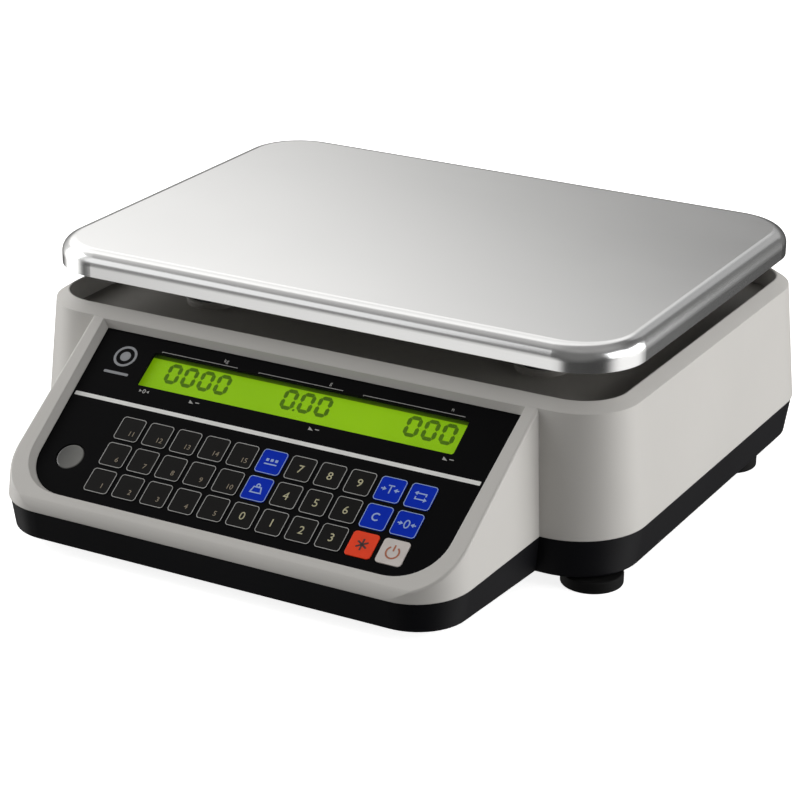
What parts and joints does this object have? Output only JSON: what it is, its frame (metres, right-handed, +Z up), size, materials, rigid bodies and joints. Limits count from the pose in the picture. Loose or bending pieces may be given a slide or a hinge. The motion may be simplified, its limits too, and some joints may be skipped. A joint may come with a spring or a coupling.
{
  "type": "counting scale",
  "caption": "Bench counting scale with a stainless platter on a single-point load cell, sloped keypad and display console, and levelling feet.",
  "frame": {"origin": "middle of the outline's box on the table the feet stand on", "axes": "+X to the operator's right, +Y away from the operator, towards the rear wall, +Z up"},
  "size_m": [0.3536, 0.361, 0.127],
  "materials": {
    "housing_plastic": "fine textured off-white ABS",
    "base_plastic": "fine textured black ABS",
    "deck_plastic": "dark grey moulded plastic",
    "stainless": "satin stainless steel sheet",
    "cast_alloy": "as-cast, lightly blasted",
    "stud_rubber": "matt black rubber",
    "cell_alloy": "milled and anodised",
    "screw_steel": "zinc plated",
    "panel_film": "semi-gloss printed overlay",
    "circuit_board": "green solder mask",
    "key_black": "semi-gloss printed overlay",
    "key_blue": "semi-gloss printed overlay",
    "key_red": "semi-gloss printed overlay",
    "key_white": "semi-gloss printed overlay",
    "window_clear": "clear acrylic",
    "lcd": "yellow-green backlit display",
    "vial_plastic": "smoky grey acrylic",
    "battery_case": "moulded battery case",
    "inlet_plastic": "black thermoplastic",
    "foot_rubber": "black rubber"
  },
  "bodies": {
    "case": {"upper_housing": "housing_plastic", "lower_base": "base_plastic", "deck_plate": "deck_plastic", "load_cell": "cell_alloy", "chassis_plate": "cast_alloy", "lower_cell_bolts": "screw_steel", "overload_stops": "screw_steel", "keypad_panel": "panel_film", "keypad_board": "circuit_board", "display_window": "window_clear", "lcd_glass": "lcd", "display_board": "circuit_board", "level_vial": "vial_plastic", "main_board": "circuit_board", "power_supply": "circuit_board", "battery": "battery_case", "power_inlet": "inlet_plastic", "case_screws": "screw_steel"},
    "weighing_platform": {"platter_support": "cast_alloy", "platter_studs": "stud_rubber", "upper_cell_bolts": "screw_steel"},
    "platter_pan": {"platter": "stainless"},
    "battery_cover": {"battery_door": "base_plastic"},
    "key_r1_c01": {"key_r1_c01": "key_black"},
    "key_r1_c02": {"key_r1_c02": "key_black"},
    "key_r1_c03": {"key_r1_c03": "key_black"},
    "key_r1_c04": {"key_r1_c04": "key_black"},
    "key_r1_c05": {"key_r1_c05": "key_black"},
    "key_r1_c06": {"key_r1_c06": "key_blue"},
    "key_r1_c07": {"key_r1_c07": "key_black"},
    "key_r1_c08": {"key_r1_c08": "key_black"},
    "key_r1_c09": {"key_r1_c09": "key_black"},
    "key_r1_c10": {"key_r1_c10": "key_blue"},
    "key_r1_c11": {"key_r1_c11": "key_blue"},
    "key_r2_c01": {"key_r2_c01": "key_black"},
    "key_r2_c02": {"key_r2_c02": "key_black"},
    "key_r2_c03": {"key_r2_c03": "key_black"},
    "key_r2_c04": {"key_r2_c04": "key_black"},
    "key_r2_c05": {"key_r2_c05": "key_black"},
    "key_r2_c06": {"key_r2_c06": "key_blue"},
    "key_r2_c07": {"key_r2_c07": "key_black"},
    "key_r2_c08": {"key_r2_c08": "key_black"},
    "key_r2_c09": {"key_r2_c09": "key_black"},
    "key_r2_c10": {"key_r2_c10": "key_blue"},
    "key_r2_c11": {"key_r2_c11": "key_blue"},
    "key_r3_c01": {"key_r3_c01": "key_black"},
    "key_r3_c02": {"key_r3_c02": "key_black"},
    "key_r3_c03": {"key_r3_c03": "key_black"},
    "key_r3_c04": {"key_r3_c04": "key_black"},
    "key_r3_c05": {"key_r3_c05": "key_black"},
    "key_r3_c06": {"key_r3_c06": "key_black"},
    "key_r3_c07": {"key_r3_c07": "key_black"},
    "key_r3_c08": {"key_r3_c08": "key_black"},
    "key_r3_c09": {"key_r3_c09": "key_black"},
    "key_r3_c10": {"key_r3_c10": "key_red"},
    "key_r3_c11": {"key_r3_c11": "key_white"},
    "foot_front_left": {"foot_front_left": "foot_rubber"},
    "foot_front_right": {"foot_front_right": "foot_rubber"},
    "foot_back_left": {"foot_back_left": "foot_rubber"},
    "foot_back_right": {"foot_back_right": "foot_rubber"}
  },
  "joints": [
    {"name": "weighing_travel", "type": "slide", "parent": "case", "child": "weighing_platform", "axis": [0, 0, -1], "range_m": [0, 0.0004], "stiffness_N_per_m": 300000, "deforming": ["load_cell"]},
    {"name": "platter_lift", "type": "slide", "parent": "weighing_platform", "child": "platter_pan", "axis": [0, 0, 1], "range_m": [0, 0.15]},
    {"name": "battery_door_release", "type": "slide", "parent": "case", "child": "battery_cover", "axis": [0, 0, -1], "range_m": [0, 0.02]},
    {"name": "key_r1_c01_press", "type": "slide", "parent": "case", "child": "key_r1_c01", "axis": [0, 0.5551, -0.8318], "range_m": [0, 0.0005], "stiffness_N_per_m": 3000},
    {"name": "key_r1_c02_press", "type": "slide", "parent": "case", "child": "key_r1_c02", "axis": [0, 0.5551, -0.8318], "range_m": [0, 0.0005], "stiffness_N_per_m": 3000},
    {"name": "key_r1_c03_press", "type": "slide", "parent": "case", "child": "key_r1_c03", "axis": [0, 0.5551, -0.8318], "range_m": [0, 0.0005], "stiffness_N_per_m": 3000},
    {"name": "key_r1_c04_press", "type": "slide", "parent": "case", "child": "key_r1_c04", "axis": [0, 0.5551, -0.8318], "range_m": [0, 0.0005], "stiffness_N_per_m": 3000},
    {"name": "key_r1_c05_press", "type": "slide", "parent": "case", "child": "key_r1_c05", "axis": [0, 0.5551, -0.8318], "range_m": [0, 0.0005], "stiffness_N_per_m": 3000},
    {"name": "key_r1_c06_press", "type": "slide", "parent": "case", "child": "key_r1_c06", "axis": [0, 0.5551, -0.8318], "range_m": [0, 0.0005], "stiffness_N_per_m": 3000},
    {"name": "key_r1_c07_press", "type": "slide", "parent": "case", "child": "key_r1_c07", "axis": [0, 0.5551, -0.8318], "range_m": [0, 0.0005], "stiffness_N_per_m": 3000},
    {"name": "key_r1_c08_press", "type": "slide", "parent": "case", "child": "key_r1_c08", "axis": [0, 0.5551, -0.8318], "range_m": [0, 0.0005], "stiffness_N_per_m": 3000},
    {"name": "key_r1_c09_press", "type": "slide", "parent": "case", "child": "key_r1_c09", "axis": [0, 0.5551, -0.8318], "range_m": [0, 0.0005], "stiffness_N_per_m": 3000},
    {"name": "key_r1_c10_press", "type": "slide", "parent": "case", "child": "key_r1_c10", "axis": [0, 0.5551, -0.8318], "range_m": [0, 0.0005], "stiffness_N_per_m": 3000},
    {"name": "key_r1_c11_press", "type": "slide", "parent": "case", "child": "key_r1_c11", "axis": [0, 0.5551, -0.8318], "range_m": [0, 0.0005], "stiffness_N_per_m": 3000},
    {"name": "key_r2_c01_press", "type": "slide", "parent": "case", "child": "key_r2_c01", "axis": [0, 0.5551, -0.8318], "range_m": [0, 0.0005], "stiffness_N_per_m": 3000},
    {"name": "key_r2_c02_press", "type": "slide", "parent": "case", "child": "key_r2_c02", "axis": [0, 0.5551, -0.8318], "range_m": [0, 0.0005], "stiffness_N_per_m": 3000},
    {"name": "key_r2_c03_press", "type": "slide", "parent": "case", "child": "key_r2_c03", "axis": [0, 0.5551, -0.8318], "range_m": [0, 0.0005], "stiffness_N_per_m": 3000},
    {"name": "key_r2_c04_press", "type": "slide", "parent": "case", "child": "key_r2_c04", "axis": [0, 0.5551, -0.8318], "range_m": [0, 0.0005], "stiffness_N_per_m": 3000},
    {"name": "key_r2_c05_press", "type": "slide", "parent": "case", "child": "key_r2_c05", "axis": [0, 0.5551, -0.8318], "range_m": [0, 0.0005], "stiffness_N_per_m": 3000},
    {"name": "key_r2_c06_press", "type": "slide", "parent": "case", "child": "key_r2_c06", "axis": [0, 0.5551, -0.8318], "range_m": [0, 0.0005], "stiffness_N_per_m": 3000},
    {"name": "key_r2_c07_press", "type": "slide", "parent": "case", "child": "key_r2_c07", "axis": [0, 0.5551, -0.8318], "range_m": [0, 0.0005], "stiffness_N_per_m": 3000},
    {"name": "key_r2_c08_press", "type": "slide", "parent": "case", "child": "key_r2_c08", "axis": [0, 0.5551, -0.8318], "range_m": [0, 0.0005], "stiffness_N_per_m": 3000},
    {"name": "key_r2_c09_press", "type": "slide", "parent": "case", "child": "key_r2_c09", "axis": [0, 0.5551, -0.8318], "range_m": [0, 0.0005], "stiffness_N_per_m": 3000},
    {"name": "key_r2_c10_press", "type": "slide", "parent": "case", "child": "key_r2_c10", "axis": [0, 0.5551, -0.8318], "range_m": [0, 0.0005], "stiffness_N_per_m": 3000},
    {"name": "key_r2_c11_press", "type": "slide", "parent": "case", "child": "key_r2_c11", "axis": [0, 0.5551, -0.8318], "range_m": [0, 0.0005], "stiffness_N_per_m": 3000},
    {"name": "key_r3_c01_press", "type": "slide", "parent": "case", "child": "key_r3_c01", "axis": [0, 0.5551, -0.8318], "range_m": [0, 0.0005], "stiffness_N_per_m": 3000},
    {"name": "key_r3_c02_press", "type": "slide", "parent": "case", "child": "key_r3_c02", "axis": [0, 0.5551, -0.8318], "range_m": [0, 0.0005], "stiffness_N_per_m": 3000},
    {"name": "key_r3_c03_press", "type": "slide", "parent": "case", "child": "key_r3_c03", "axis": [0, 0.5551, -0.8318], "range_m": [0, 0.0005], "stiffness_N_per_m": 3000},
    {"name": "key_r3_c04_press", "type": "slide", "parent": "case", "child": "key_r3_c04", "axis": [0, 0.5551, -0.8318], "range_m": [0, 0.0005], "stiffness_N_per_m": 3000},
    {"name": "key_r3_c05_press", "type": "slide", "parent": "case", "child": "key_r3_c05", "axis": [0, 0.5551, -0.8318], "range_m": [0, 0.0005], "stiffness_N_per_m": 3000},
    {"name": "key_r3_c06_press", "type": "slide", "parent": "case", "child": "key_r3_c06", "axis": [0, 0.5551, -0.8318], "range_m": [0, 0.0005], "stiffness_N_per_m": 3000},
    {"name": "key_r3_c07_press", "type": "slide", "parent": "case", "child": "key_r3_c07", "axis": [0, 0.5551, -0.8318], "range_m": [0, 0.0005], "stiffness_N_per_m": 3000},
    {"name": "key_r3_c08_press", "type": "slide", "parent": "case", "child": "key_r3_c08", "axis": [0, 0.5551, -0.8318], "range_m": [0, 0.0005], "stiffness_N_per_m": 3000},
    {"name": "key_r3_c09_press", "type": "slide", "parent": "case", "child": "key_r3_c09", "axis": [0, 0.5551, -0.8318], "range_m": [0, 0.0005], "stiffness_N_per_m": 3000},
    {"name": "key_r3_c10_press", "type": "slide", "parent": "case", "child": "key_r3_c10", "axis": [0, 0.5551, -0.8318], "range_m": [0, 0.0005], "stiffness_N_per_m": 3000},
    {"name": "key_r3_c11_press", "type": "slide", "parent": "case", "child": "key_r3_c11", "axis": [0, 0.5551, -0.8318], "range_m": [0, 0.0005], "stiffness_N_per_m": 3000},
    {"name": "foot_front_left_screw", "type": "slide", "parent": "case", "child": "foot_front_left", "axis": [0, 0, -1], "range_m": [-0.001, 0.006]},
    {"name": "foot_front_right_screw", "type": "slide", "parent": "case", "child": "foot_front_right", "axis": [0, 0, -1], "range_m": [-0.001, 0.006]},
    {"name": "foot_back_left_screw", "type": "slide", "parent": "case", "child": "foot_back_left", "axis": [0, 0, -1], "range_m": [-0.001, 0.006]},
    {"name": "foot_back_right_screw", "type": "slide", "parent": "case", "child": "foot_back_right", "axis": [0, 0, -1], "range_m": [-0.001, 0.006]}
  ]
}
